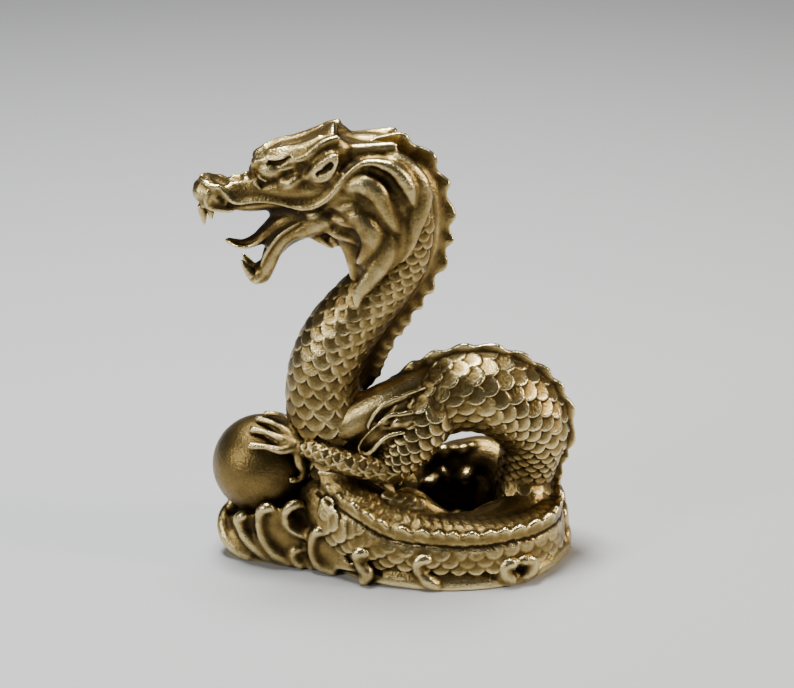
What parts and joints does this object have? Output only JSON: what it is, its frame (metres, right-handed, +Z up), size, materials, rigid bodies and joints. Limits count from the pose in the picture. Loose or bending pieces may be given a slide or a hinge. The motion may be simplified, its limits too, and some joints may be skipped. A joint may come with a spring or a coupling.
{
  "type": "dragon statuette",
  "caption": "Small cast brass dragon rearing from its own coil with one hand on a pearl, built together with its wave-edged plinth; stands as an ornament.",
  "frame": {"origin": "on the flat underside, at the middle of the base", "axes": "+Z up, -X the way the dragon looks, -Y the side that the picture shows"},
  "size_m": [0.0585, 0.0315, 0.07],
  "materials": {
    "brass": "old cast brass, dark in the hollows and rubbed bright on the high edges"
  },
  "bodies": {
    "root": {"dragon": "brass"}
  },
  "joints": []
}
